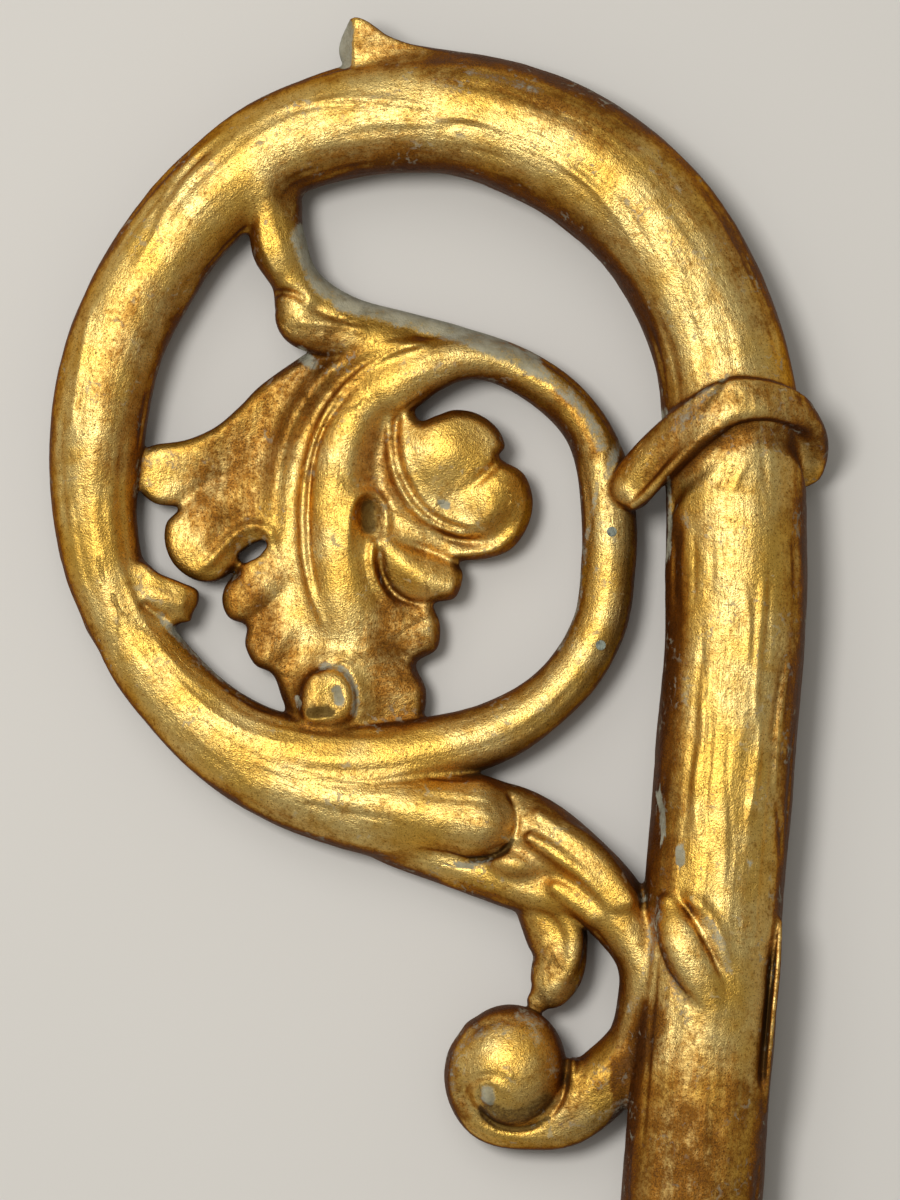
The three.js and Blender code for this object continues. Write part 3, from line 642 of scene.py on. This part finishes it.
def build_piece(carving):
    """The carved head and the staff under it as one closed mesh, in drawing units."""
    verts, quads = surface(carving)
    # the open end that the staff goes on from
    at_end = verts[:, 1] < CUT + CELL
    verts[at_end, 1] = CUT + CELL * 0.5
    edges = np.vstack([quads[:, [0, 1]], quads[:, [1, 2]], quads[:, [2, 3]], quads[:, [3, 0]]])
    edges = np.unique(np.sort(edges, 1), axis=0)
    verts = relax(verts, edges, at_end, 2)
    rim = np.intersect1d(np.flatnonzero(at_end), edges)
    rim = rim[np.argsort(np.arctan2(verts[rim, 0], verts[rim, 2] - STAFF))]
    # the long plain staff, ring by ring down to the foot, with the marks that the crook's limb has
    foot = -DATUM_Y / UNIT
    rows = np.append(np.arange(CUT - SPACING, foot + 12, -SPACING), [foot + FOOT_EDGE, foot])
    turn = -math.pi + 2 * math.pi * (np.arange(SIDES) + 0.5) / SIDES
    round_it = np.arctan2(np.cos(turn), -np.sin(turn))
    rings = []
    for v in rows:
        radius = STAFF - FOOT_INSET
        if v > foot:
            radius = STAFF + 0.8 * tool_marks(np.full(SIDES, v + MARKS_FROM), round_it, STAFF, 11)
        height = np.maximum(STAFF + np.cos(turn) * radius, FLAT)
        rings.append(np.stack([np.sin(turn) * radius, np.full(SIDES, v), height], 1))
    base = len(verts)
    verts = np.vstack([verts] + rings)
    faces = [tuple(q) for q in quads]
    for n in range(len(rings) - 1):
        a, b = base + n * SIDES, base + (n + 1) * SIDES
        for i in range(SIDES):
            j = (i + 1) % SIDES
            faces.append((a + i, a + j, b + j, b + i))
    # a strip of triangles between the head's rim and the first ring
    angle = np.arctan2(verts[rim, 0], verts[rim, 2] - STAFF)
    i = j = 0
    while i < len(rim) or j < SIDES:
        next_a = angle[(i + 1) % len(rim)] + (2 * math.pi if i + 1 >= len(rim) else 0)
        next_b = turn[(j + 1) % SIDES] + (2 * math.pi if j + 1 >= SIDES else 0)
        va, vb = rim[i % len(rim)], base + j % SIDES
        if j >= SIDES or (i < len(rim) and next_a <= next_b):
            faces.append((va, rim[(i + 1) % len(rim)], vb))
            i += 1
        else:
            faces.append((va, base + (j + 1) % SIDES, vb))
            j += 1
    faces.append(tuple(range(len(verts) - SIDES, len(verts))))
    return verts, faces


def metres(verts):
    """Drawing units from the datum to the part's frame."""
    return np.stack([verts[:, 0] * UNIT, verts[:, 1] * UNIT + DATUM_Y, verts[:, 2] * UNIT + BED], 1)


def new_object(name, verts, faces):
    mesh = bpy.data.meshes.new(name)
    mesh.from_pydata(np.asarray(verts).tolist(), [], [tuple(int(i) for i in f) for f in faces])
    work = bmesh.new()
    work.from_mesh(mesh)
    bmesh.ops.recalc_face_normals(work, faces=work.faces)
    work.to_mesh(mesh)
    work.free()
    mesh.update()
    obj = bpy.data.objects.new(name, mesh)
    bpy.context.scene.collection.objects.link(obj)
    mesh.polygons.foreach_set("use_smooth", [True] * len(mesh.polygons))
    return obj


def read_field(carving, points):
    """The field at any points, between its grid's values."""
    g = np.clip((points - carving.low) / carving.cell, 0, np.array(carving.f.shape) - 1.001)
    base = g.astype(int)
    return between(carving.f, base.T, (g - base).T)


# Where the surface differs from plain leaf, and where shade is painted on it: strength, half width, then the line as
# x, y, x, y ...
GESSO_MARKS = [
    (0.9, 13, 302, 236, 311, 262, 324, 286, 350, 303, 400, 316, 450, 330, 490, 345, 530, 364),
    (0.7, 8, 530, 366, 560, 388, 584, 412, 602, 446), (0.45, 6, 136, 470, 140, 520, 150, 560),
    (0.6, 6, 184, 642, 222, 676, 276, 706), (0.45, 12, 146, 455, 176, 462), (0.8, 8, 300, 354, 312, 364),
    (0.6, 3.5, 600, 470, 586, 540, 578, 600, 560, 650), (1.2, 5, 677, 847, 678, 859),
    (1.1, 3, 657, 792, 661, 815, 661, 835), (0.75, 2.5, 667, 480, 669, 520, 667, 560), (0.6, 5, 682, 518, 690, 532),
    (0.9, 3.5, 744, 856, 748, 860), (1.1, 4, 441, 502, 445, 506), (0.7, 3, 503, 835, 507, 838),
    (0.55, 7, 640, 895, 655, 900, 650, 930), (0.6, 6, 702, 916, 716, 936, 726, 965),
    (0.45, 9, 664, 955, 676, 985, 684, 1015), (0.55, 8, 590, 1065, 600, 1068),
    (0.5, 8, 560, 1125, 600, 1115, 630, 1095), (1.0, 6, 337, 689, 340, 700),
    (0.75, 4.5, 322, 666, 338, 667, 350, 677, 356, 694, 355, 714), (0.8, 5, 160, 614, 167, 624, 182, 640),
    (0.3, 8, 136, 566, 148, 582, 164, 590), (1.3, 2, 443, 861, 444, 863), (0.6, 8, 520, 1013, 538, 1022),
    (0.55, 9, 462, 1036, 486, 1026, 510, 1028), (0.5, 8, 528, 1030, 546, 1046, 556, 1064),
    (0.9, 4, 455, 863, 472, 866), (0.7, 4, 298, 698, 300, 706), (1.8, 8, 346, 30, 343, 46, 344, 62),
    (0.95, 8, 488, 1088, 489, 1095), (0.55, 6, 470, 78, 500, 84, 540, 96), (0.55, 5, 436, 90, 460, 96),
    (0.5, 5, 395, 98, 365, 104), (0.5, 5, 598, 560, 592, 600), (0.5, 6, 655, 930, 640, 980, 628, 1010),
    (0.5, 7, 676, 428, 700, 398, 724, 388), (0.75, 6, 662, 414, 640, 430, 618, 446, 607, 476),
    (0.6, 4, 455, 864, 488, 862), (0.5, 4, 470, 1030, 452, 1060, 454, 1100),
]
# Orange clay showing through the leaf, and painted shade: the marks down the staff's right side, in the cove under
# the band, in the recess under the broken stem and along the bracket's lower side paint shade
BOLE_AND_SHADE_MARKS = [
    (0.85, 13, 674, 530, 671, 640, 668, 760, 664, 880), (0.75, 42, 330, 368, 270, 412, 230, 462, 234, 520),
    (0.8, 30, 235, 590, 262, 640, 280, 690), (0.75, 30, 395, 620, 400, 660, 395, 700),
    (0.4, 14, 382, 440, 376, 470, 384, 500), (0.85, 24, 440, 70, 500, 82, 570, 106, 620, 140),
    (0.55, 12, 650, 470, 690, 418, 740, 396, 790, 412, 822, 444), (0.5, 16, 660, 170, 720, 240, 760, 320),
    (0.6, 18, 372, 40, 400, 58, 440, 72), (0.85, 15, 650, 1010, 634, 1050, 604, 1082),
    (0.5, 22, 150, 300, 122, 380, 120, 460), (0.6, 14, 560, 400, 585, 450), (0.5, 18, 236, 540, 262, 548, 272, 570),
    (0.6, 26, 800, 520, 800, 700, 790, 900), (0.7, 13, 670, 480, 700, 450, 740, 437, 790, 440),
    (0.6, 16, 480, 890, 520, 920, 550, 960), (0.55, 10, 450, 1060, 454, 1090, 462, 1112),
    (0.5, 11, 478, 1022, 500, 1012, 524, 1018), (0.5, 12, 540, 1050, 556, 1075, 552, 1095),
    (0.5, 9, 318, 668, 302, 684, 300, 706), (0.6, 8, 306, 728, 330, 731, 354, 726),
    (0.45, 12, 286, 170, 294, 200, 298, 226), (0.5, 22, 560, 1110, 575, 1080, 560, 1050),
    (0.5, 18, 220, 800, 320, 850, 420, 880), (0.65, 22, 290, 190, 360, 168, 450, 172, 540, 212, 600, 262, 640, 330),
]
# Dark marks; several are painted shade: in the teardrop hollow, round the pierced eye, in the creases under the
# bracket's lobe, round the volute's foot and the bud, and over the volute's lower side
DARK_MARKS = [
    (0.45, 5, 718, 386, 704, 402, 692, 418), (1.0, 8, 368, 507, 369, 527), (1.2, 6, 312, 712, 330, 711),
    (0.8, 11, 490, 1108, 518, 1113, 545, 1099),
    (0.95, 2.6, 480, 1104, 486, 1115, 498, 1124, 516, 1128, 534, 1125, 548, 1116),
    (0.55, 3, 478, 1096, 480, 1084, 490, 1078, 500, 1085, 501, 1097),
    (0.85, 2.4, 512, 839, 503, 850, 488, 857, 471, 859), (0.35, 8, 470, 1016, 500, 1010, 530, 1014),
    (0.6, 8, 248, 548, 262, 552), (0.6, 3, 700, 640, 703, 684, 700, 700), (0.4, 9, 704, 918, 718, 938),
    (0.5, 5, 599, 534, 602, 537), (0.5, 30, 690, 1010, 700, 1030),
]


def marks(table, x, y):
    """How strong a table's marks are at each point of the drawing."""
    out = np.zeros(len(x))
    for strength, half, *line in table:
        p = np.reshape(line, (-1, 2)).astype(float)
        lo, hi = p.min(0) - 2 * half, p.max(0) + 2 * half
        near = (x > lo[0]) & (x < hi[0]) & (y > lo[1]) & (y < hi[1])
        if near.any():
            far = nearest(x[near], y[near], spline(p, 4))[0]
            out[near] = np.maximum(out[near], strength * (1 - step(0.4 * half, 1.6 * half, far)))
    return out


def paint_attributes(obj, carving):
    """Each vertex's place in the grain, how sure that is, and how hollow, bare, orange, dark or low it is there; the
    orange and dark marks are partly painted shade.
    """
    mesh = obj.data
    n = len(mesh.vertices)
    co = np.empty(n * 3)
    mesh.vertices.foreach_get("co", co)
    co = co.reshape(-1, 3)
    normal = np.empty(n * 3, np.float32)
    mesh.vertex_normals.foreach_get("vector", normal)
    normal = normal.reshape(-1, 3).astype(float)
    u, v, h = co[:, 0] / UNIT, (co[:, 1] - DATUM_Y) / UNIT, (co[:, 2] - BED) / UNIT
    x, y = drawn(u, v)
    p = np.stack([u, v, h], 1)
    head = v > CUT + 40
    # how enclosed each place is, read from the field; the material paints shade and grime with it
    hollow = np.zeros(n)
    for reach in HOLLOW_REACHES:
        out = read_field(carving, p[head] + reach * normal[head])
        hollow[head] += np.clip((reach - out) / reach, 0, 1.5) / len(HOLLOW_REACHES)
    gesso = marks(GESSO_MARKS, x, y) * (h > 30)
    bole_and_shade = marks(BOLE_AND_SHADE_MARKS, x, y) * (h > 22)
    dark = marks(DARK_MARKS, x, y) * (h > 34)
    low = step(990, 1120, y) * (x > 610)
    # the grain follows the limb that is nearest for its width, and is sure where no other is near
    best, second = np.full(n, 1e9), np.full(n, 1e9)
    along, across = np.zeros(n), np.zeros(n)
    for number, (rows, wide) in enumerate(((CURL, STAFF), (SPIRAL, 30), (LIMB, 36), (STRUT, 24))):
        line = spline([row[:2] for row in rows])
        far, side, length, _ = nearest(u, v, np.stack(turned(*line.T), 1))
        far_share = far / wide
        second = np.minimum(second, np.maximum(far_share, best))
        take = far_share < best
        best = np.where(take, far_share, best)
        along = np.where(take, length + 400 * number, along)
        across = np.where(take, side * far, across)
    straight = v < CUT + 200
    along = np.where(straight, -v, along)
    sure = np.where(straight, 1, np.clip((second - best) / 0.4, 0, 1))
    grain = np.stack([along, across, h], 1) * UNIT
    fields = {"hollow": hollow, "sure": sure, "gesso": gesso, "bole_and_shade": bole_and_shade, "dark": dark, "low": low}
    for name, values in fields.items():
        layer = mesh.attributes.new(name, "FLOAT", "POINT")
        layer.data.foreach_set("value", values.astype(np.float32))
    layer = mesh.attributes.new("grain", "FLOAT_VECTOR", "POINT")
    layer.data.foreach_set("vector", grain.ravel().astype(np.float32))


# Linear colours of the leaf, the leaf worn thin (which also paints shade on walls and in hollows), the clay under it,
# the painted shade tone of slopes, the grime and painted shade, the gesso, the pins and the floor.
LEAF, LEAF_PALE = (0.88, 0.56, 0.115), (0.95, 0.72, 0.275)
LEAF_WARM, LEAF_BROWN, LEAF_DARK = (0.72, 0.42, 0.065), (0.42, 0.21, 0.035), (0.24, 0.105, 0.015)
WORN, WORN_PALE, WORN_DARK = (0.23, 0.086, 0.007), (0.46, 0.200, 0.026), (0.12, 0.046, 0.008)
CLAY, CLAY_DARK = (0.15, 0.058, 0.012), (0.055, 0.019, 0.004)
WALL_SHADE_TONE, GRIME_AND_SHADE = (0.60, 0.40, 0.18), (0.045, 0.023, 0.006)
GESSO, GESSO_PALE = (0.215, 0.220, 0.170), (0.40, 0.41, 0.33)
METAL, METAL_DARK, METAL_PALE = (0.20, 0.23, 0.19), (0.075, 0.085, 0.070), (0.30, 0.33, 0.27)
FLOOR, FLOOR_PALE = (0.66, 0.65, 0.63), (0.70, 0.69, 0.67)


class Nodes:
    """Short hands for building a material's node tree."""

    def __init__(self, name):
        self.mat = bpy.data.materials.new(name)
        self.mat.use_nodes = True
        self.tree = self.mat.node_tree
        self.shader = self.tree.nodes["Principled BSDF"]

    def put(self, socket, value):
        if isinstance(value, bpy.types.NodeSocket):
            self.tree.links.new(value, socket)
        else:
            socket.default_value = value

    def give(self, name, value):
        self.put(self.shader.inputs[name], value)

    def new(self, kind, output, inputs=(), **settings):
        """Adds a node with its settings and inputs and gives one of its outputs."""
        node = self.tree.nodes.new("ShaderNode" + kind)
        for name, value in settings.items():
            setattr(node, name, value)
        for socket, value in inputs:
            self.put(node.inputs[socket], value)
        return node.outputs[output]

    def attribute(self, name, kind="Fac"):
        return self.new("Attribute", kind, attribute_name=name)

    def place(self):
        return self.new("TexCoord", "Object")

    def stretch(self, vector, scale):
        return self.new("Mapping", "Vector", [("Vector", vector), ("Scale", scale)])

    def noise(self, vector, scale, detail=3.0, rough=0.55):
        inputs = [("Vector", vector), ("Scale", scale), ("Detail", detail), ("Roughness", rough)]
        return self.new("TexNoise", "Fac", inputs)

    def cells(self, vector, scale):
        return self.new("TexVoronoi", "Distance", [("Vector", vector), ("Scale", scale)])

    def math(self, kind, *values):
        return self.new("Math", 0, enumerate(values), operation=kind)

    def add(self, a, b):
        return self.math("ADD", a, b)

    def less(self, a, b):
        return self.math("SUBTRACT", a, b)

    def times(self, a, b):
        return self.math("MULTIPLY", a, b)

    def most(self, a, b):
        return self.math("MAXIMUM", a, b)

    def fma(self, a, b, c):
        """a times b, plus c."""
        return self.math("MULTIPLY_ADD", a, b, c)

    def ramp(self, value, lo, hi, to_lo=0.0, to_hi=1.0):
        inputs = [("Value", value), ("From Min", lo), ("From Max", hi), ("To Min", to_lo), ("To Max", to_hi)]
        return self.new("MapRange", "Result", inputs, interpolation_type="SMOOTHSTEP")

    def thread(self, value, middle, width):
        """Thin lines where a value passes its middle."""
        return self.ramp(self.math("ABSOLUTE", self.less(value, middle)), width, 0.0)

    def mix(self, share, a, b, kind="MIX"):
        """Between two colours."""
        a, b = ((*c, 1) if isinstance(c, tuple) else c for c in (a, b))
        return self.new("Mix", "Result", [("Factor", share), ("A", a), ("B", b)], data_type="RGBA", blend_type=kind)

    def blend(self, share, a, b):
        """Between two numbers."""
        return self.new("Mix", 0, [(0, share), (2, a), (3, b)])

    def bump(self, height, strength, depth):
        return self.new("Bump", "Normal", [("Height", height), ("Strength", strength), ("Distance", depth)])


def gilding():
    """Burnished leaf over orange clay and pale green-grey gesso, worn thin, speckled and grimed, with painted shade
    on walls, slopes, hollows and creases.
    """
    n = Nodes("gilding")
    place = n.place()
    grain = n.attribute("grain", "Vector")
    hollow, sure, gesso, bole_and_shade, dark, low = map(n.attribute, ("hollow", "sure", "gesso", "bole_and_shade", "dark", "low"))
    up = n.new("SeparateXYZ", "Z", [(0, n.new("NewGeometry", "Normal"))])
    # painted shade: walls and slopes are darker the further their normal turns from straight up
    wall_shade = n.ramp(up, 0.74, 0.10)
    slope_shade = n.ramp(up, 0.94, 0.30)

    broad = n.noise(place, 60, 2)
    mid = n.noise(place, 230, 3, 0.62)
    fine = n.noise(place, 1100, 3, 0.7)
    grit = n.noise(place, 3000, 2, 0.6)
    streak = n.noise(n.stretch(grain, (0.10, 1, 1)), 460, 3, 0.65)
    pin = n.cells(place, 850)
    where = n.noise(place, 140, 2, 0.7)

    # how far the leaf is worn thin, and where the clay shows; steep walls and hollows count as worn, which paints
    # shade on them
    rub_and_shade = n.fma(wall_shade, 0.78, n.times(bole_and_shade, 0.60))
    rub_and_shade = n.fma(low, 0.50, rub_and_shade)
    rub_and_shade = n.fma(hollow, 0.55, rub_and_shade)
    for value, share, off in ((broad, 0.45, -0.22), (mid, 0.60, -0.30), (streak, 0.60, -0.30), (fine, 0.55, -0.27)):
        rub_and_shade = n.add(rub_and_shade, n.fma(value, share, off))
    rubbed_and_shaded = n.ramp(rub_and_shade, 0.0, 0.66)
    through_and_shade = n.ramp(n.fma(grit, 0.8, rub_and_shade), 0.80, 1.30)

    gold = n.mix(n.ramp(broad, 0.35, 0.65), LEAF, LEAF_PALE)
    gold = n.mix(n.ramp(mid, 0.38, 0.78, 0.0, 0.7), gold, LEAF_WARM)
    gold = n.mix(n.ramp(fine, 0.48, 0.85), gold, LEAF_BROWN)
    gold = n.mix(n.ramp(grit, 0.54, 0.74, 0.0, 0.9), gold, LEAF_DARK)
    worn = n.mix(n.ramp(streak, 0.35, 0.65), WORN, WORN_PALE)
    worn = n.mix(n.ramp(grit, 0.50, 0.72, 0.0, 0.85), worn, WORN_DARK)
    clay = n.mix(n.ramp(fine, 0.3, 0.7), CLAY_DARK, CLAY)
    colour = n.mix(through_and_shade, n.mix(rubbed_and_shaded, gold, worn), clay)
    # painted shade: slopes multiplied by a darker brown tone
    colour = n.mix(n.times(slope_shade, n.fma(mid, 0.5, 0.72)), colour, WALL_SHADE_TONE, "MULTIPLY")

    # painted shade in the hollows and marked creases, with grime, pinholes and thin cracks
    grime_and_shade = n.fma(hollow, 0.75, n.times(dark, 0.95))
    grime_and_shade = n.fma(grit, 0.30, n.fma(fine, 0.45, grime_and_shade))
    grime_and_shade = n.times(n.ramp(grime_and_shade, 0.68, 1.25), 0.85)
    specks = n.times(n.ramp(pin, 0.23, 0.08), n.ramp(where, 0.40, 0.60))
    split = n.times(n.thread(streak, 0.5, 0.009), n.times(sure, n.ramp(broad, 0.46, 0.64, 0.0, 0.45)))
    vein = n.times(n.thread(mid, 0.53, 0.008), n.ramp(broad, 0.56, 0.40, 0.0, 0.35))
    grime_and_shade = n.most(grime_and_shade, n.most(n.times(specks, 0.55), n.most(split, vein)))
    colour = n.mix(grime_and_shade, colour, GRIME_AND_SHADE)

    # gesso bared, in chips and flecks
    chip = n.add(gesso, n.fma(fine, 0.9, -0.45))
    chip = n.add(chip, n.fma(mid, 0.9, -0.45))
    chip = n.times(n.ramp(chip, 0.40, 0.85), 0.88)
    flecks = n.times(n.ramp(n.add(pin, fine), 1.12, 1.28), n.ramp(where, 0.46, 0.34))
    chip = n.most(chip, n.times(flecks, 0.5))
    n.give("Base Color", n.mix(chip, colour, n.mix(n.ramp(mid, 0.3, 0.7), GESSO, GESSO_PALE)))

    shine = n.blend(through_and_shade, n.blend(rubbed_and_shaded, 1.0, 0.86), 0.30)
    shine = n.times(shine, n.less(1.0, n.times(grime_and_shade, 0.85)))
    n.give("Metallic", n.times(shine, n.less(1.0, chip)))

    rough = n.fma(mid, 0.20, 0.26)
    for value, share in ((fine, 0.18), (rubbed_and_shaded, 0.14), (low, 0.12)):
        rough = n.fma(value, share, rough)
    for share, value in ((through_and_shade, 0.55), (grime_and_shade, 0.65), (chip, 0.74)):
        rough = n.blend(share, rough, value)
    n.give("Roughness", rough)
    n.give("Specular IOR Level", 0.30)
    n.give("Specular Tint", (0.80, 0.56, 0.28, 1))

    # small unevenness, in metres, the finer kinds in steps of 0.01 mm
    relief = n.times(n.noise(place, 160, 1, 0.5), 0.00022)
    strokes = n.noise(n.stretch(grain, (0.08, 1, 1)), 520, 2, 0.5)
    pits = n.noise(place, 900, 2, 0.7)
    for value, height in ((strokes, 17), (pits, 12), (grit, 13), (grime_and_shade, -8), (gesso, -12)):
        relief = n.fma(value, height * 1e-5, relief)
    n.give("Normal", n.bump(relief, 1.0, 1.0))
    return n.mat


def pin_metal():
    """Grey-green corroded metal."""
    n = Nodes("pin_metal")
    place = n.place()
    fine = n.noise(place, 3200, 3, 0.6)
    colour = n.mix(n.ramp(n.noise(place, 900, 4, 0.6), 0.35, 0.65), METAL_DARK, METAL)
    n.give("Base Color", n.mix(n.ramp(fine, 0.55, 0.75), colour, METAL_PALE))
    n.give("Metallic", 0.45)
    n.give("Roughness", n.fma(fine, 0.3, 0.4))
    n.give("Normal", n.bump(fine, 0.7, 0.00012))
    return n.mat


carving = carved_head()
verts, faces = build_piece(carving)
crosier = new_object("crosier_carving", metres(verts), faces)
triangles = sum(len(p.vertices) - 2 for p in crosier.data.polygons)
if triangles > MOST_TRIANGLES:
    thin = crosier.modifiers.new("thin", "DECIMATE")
    thin.ratio = MOST_TRIANGLES / triangles
    graph = bpy.context.evaluated_depsgraph_get()
    thinned = bpy.data.meshes.new_from_object(crosier.evaluated_get(graph))
    crosier.modifiers.clear()
    crosier.data = thinned
paint_attributes(crosier, carving)
crosier.data.materials.append(gilding())
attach(crosier, "root")
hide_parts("crosier")
metal = pin_metal()
for name in ("pin_upper", "pin_lower"):
    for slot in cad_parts[name].material_slots:
        slot.material = metal

# the floor, a hair under the crosier
LEVEL = BED - 0.0002
floor = new_object("floor", [(-9, -8, LEVEL), (9, -8, LEVEL), (9, 10, LEVEL), (-9, 10, LEVEL)], [(0, 1, 2, 3)])
pale = Nodes("floor")
pale.give("Base Color", pale.mix(pale.noise(pale.place(), 3, 3), FLOOR, FLOOR_PALE))
pale.give("Roughness", 0.85)
floor.data.materials.append(pale.mat)


def lamp(name, kind, energy, location, target, size, color):
    """A round lamp of a width, or a sun of an angle."""
    data = bpy.data.lights.new(name, kind)
    data.energy = energy
    data.color = color
    if kind == "AREA":
        data.shape = "DISK"
        data.size = size
    else:
        data.angle = size
    obj = bpy.data.objects.new(name, data)
    obj.location = location
    direction = np.array(target, float) - np.array(location, float)
    obj.rotation_euler = Vector(direction).to_track_quat("-Z", "Y").to_euler()
    bpy.context.scene.collection.objects.link(obj)


lamp("key", "AREA", 6.6, (-0.36, 1.48, 1.05), (-0.06, 1.34, 0), 0.32, (1, 0.97, 0.92))
lamp("sky", "SUN", 0.72, (-0.5, 1.9, 1.6), (0, 1.34, 0), math.radians(60), (1, 0.99, 0.97))
world = bpy.data.worlds.new("studio")
world.use_nodes = True
world.node_tree.nodes["Background"].inputs["Color"].default_value = (1.0, 0.94, 0.82, 1)
world.node_tree.nodes["Background"].inputs["Strength"].default_value = 0.23
bpy.context.scene.world = world
bpy.context.scene.view_settings.view_transform = "Standard"

# the camera looks straight down on the middle of the 900 by 1200 drawing, aimed at a height of 45
FIELD = math.radians(10)
view_u, view_v = turned(450, 600)
distance = 600 * UNIT / math.tan(FIELD / 2)
cam = bpy.data.cameras.new("camera")
cam.sensor_fit = "VERTICAL"
cam.angle_y = FIELD
cam.clip_start = 0.01
camera = bpy.data.objects.new("camera", cam)
camera.location = (view_u * UNIT, view_v * UNIT + DATUM_Y, BED + 45 * UNIT + distance)
camera.rotation_euler = (0, 0, LEAN)
bpy.context.scene.collection.objects.link(camera)
bpy.context.scene.camera = camera
